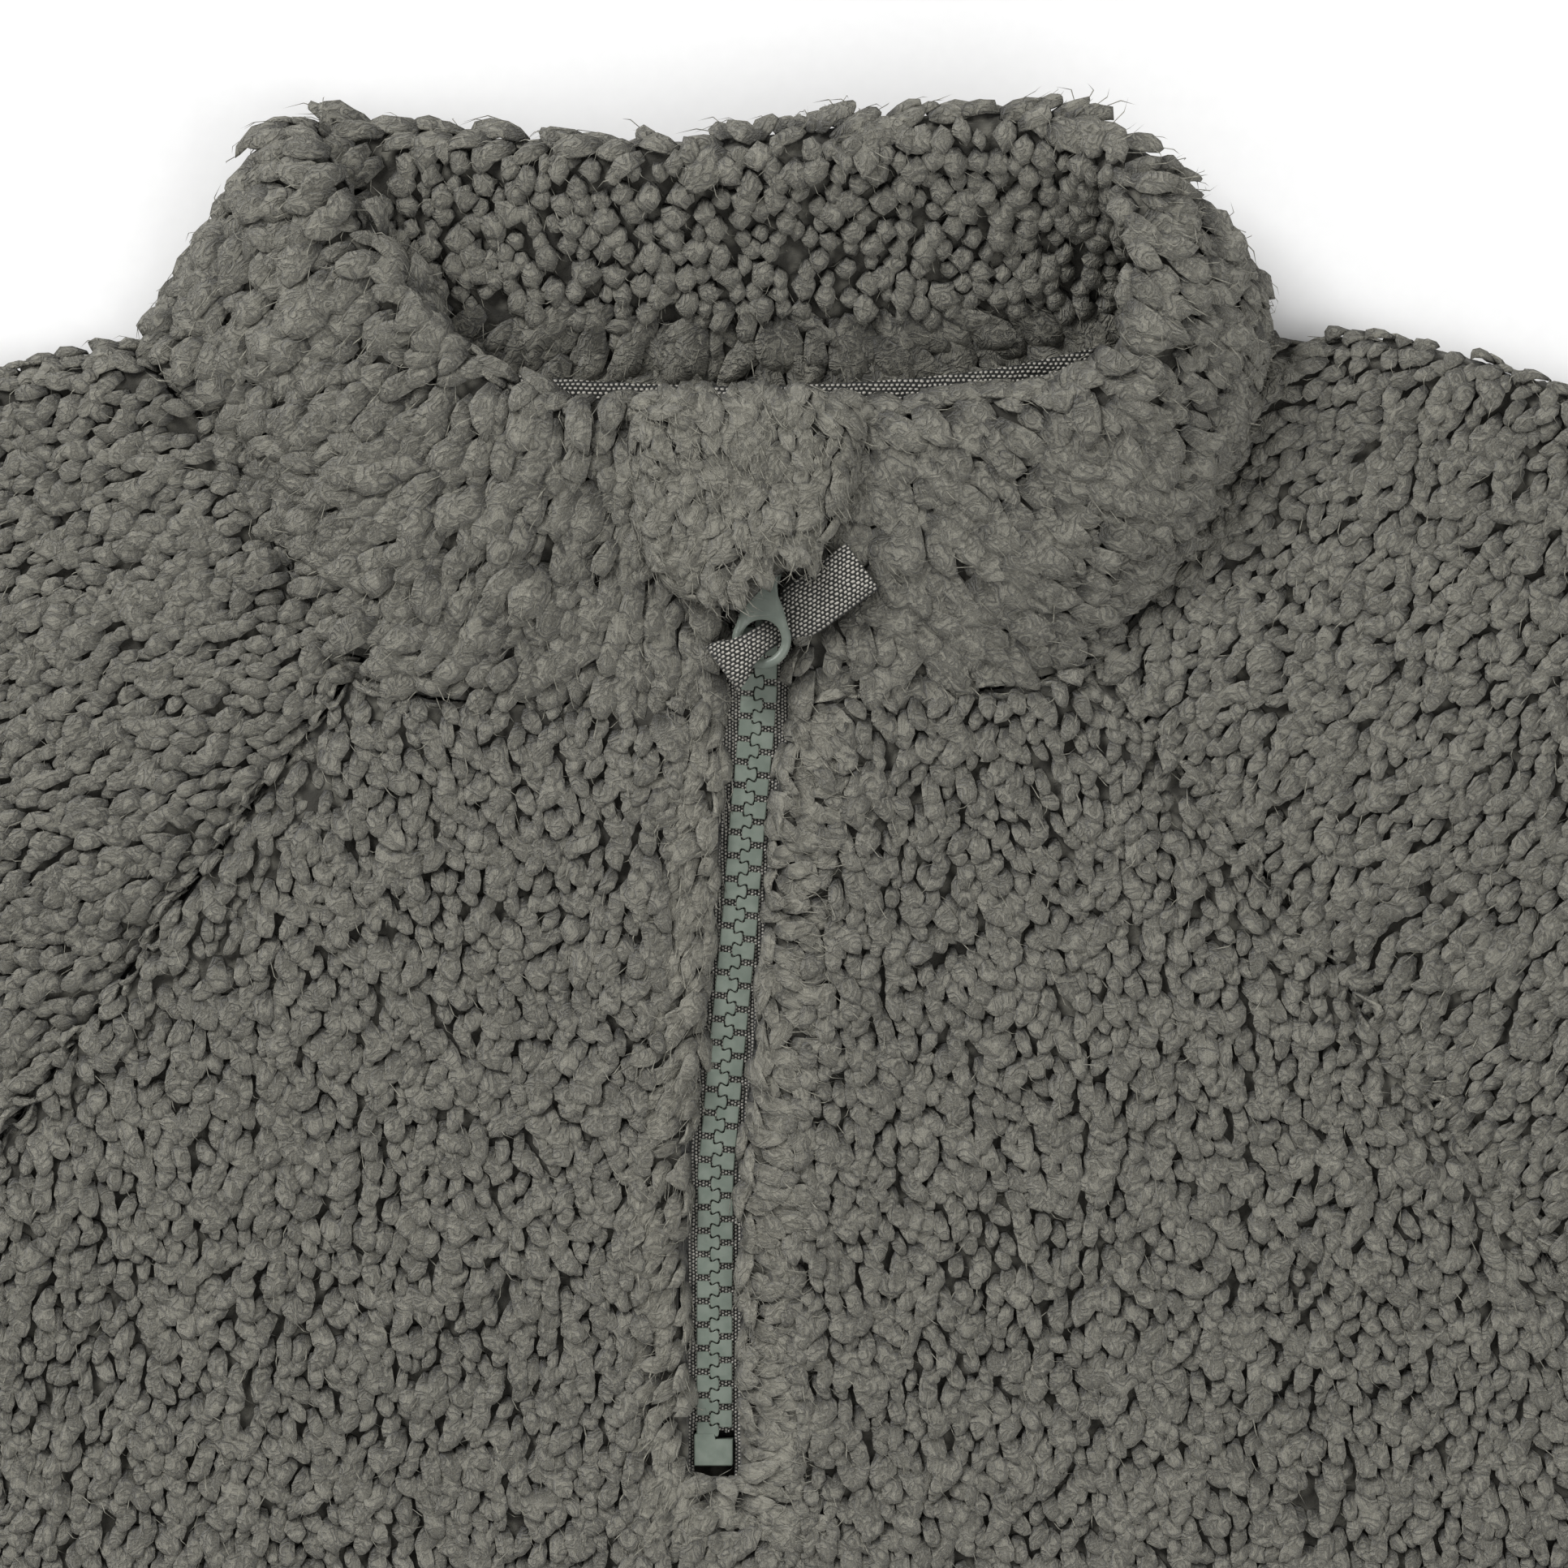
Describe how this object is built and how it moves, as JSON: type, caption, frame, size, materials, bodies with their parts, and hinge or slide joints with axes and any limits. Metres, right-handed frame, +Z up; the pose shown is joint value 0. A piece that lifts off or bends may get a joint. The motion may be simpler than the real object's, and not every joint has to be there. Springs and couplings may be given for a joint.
{
  "type": "half-zip pullover",
  "caption": "Child's half-zip pullover in high-pile boucle fleece with raglan sleeves, a stand collar, a chin guard and a ring puller with a webbing tab, laid flat",
  "frame": {"origin": "On the surface that the garment lies on, at the middle of its footprint.", "axes": "X across the garment, positive to the picture's right; Y up the garment, from the hem to the collar; Z up from the surface, through the layers."},
  "size_m": [0.8772, 0.4946, 0.0354],
  "materials": {
    "fleece": "dark grey-olive high-pile boucle fleece",
    "brushed_fleece": "the same fleece, brushed smooth",
    "webbing": "woven grey-green heather tape",
    "zip_plastic": "satin sage green"
  },
  "bodies": {
    "garment": {"back": "fleece", "front": "fleece", "sleeve_left": "fleece", "sleeve_right": "fleece", "collar": "fleece", "chin_guard": "brushed_fleece", "neck_tape": "webbing", "zip_tape_left": "webbing", "zip_tape_right": "webbing", "zip_chain": "zip_plastic", "zip_stop": "zip_plastic", "slider": "zip_plastic"},
    "puller": {"zip_pull": "zip_plastic", "pull_tab": "webbing"}
  },
  "joints": [
    {"name": "pull_lift", "type": "hinge", "parent": "garment", "child": "puller", "pos_m": [0.0054, 0.1742, 0.0166], "axis": [-0.9994, 0.035, 0], "range_deg": [0, 8]}
  ]
}
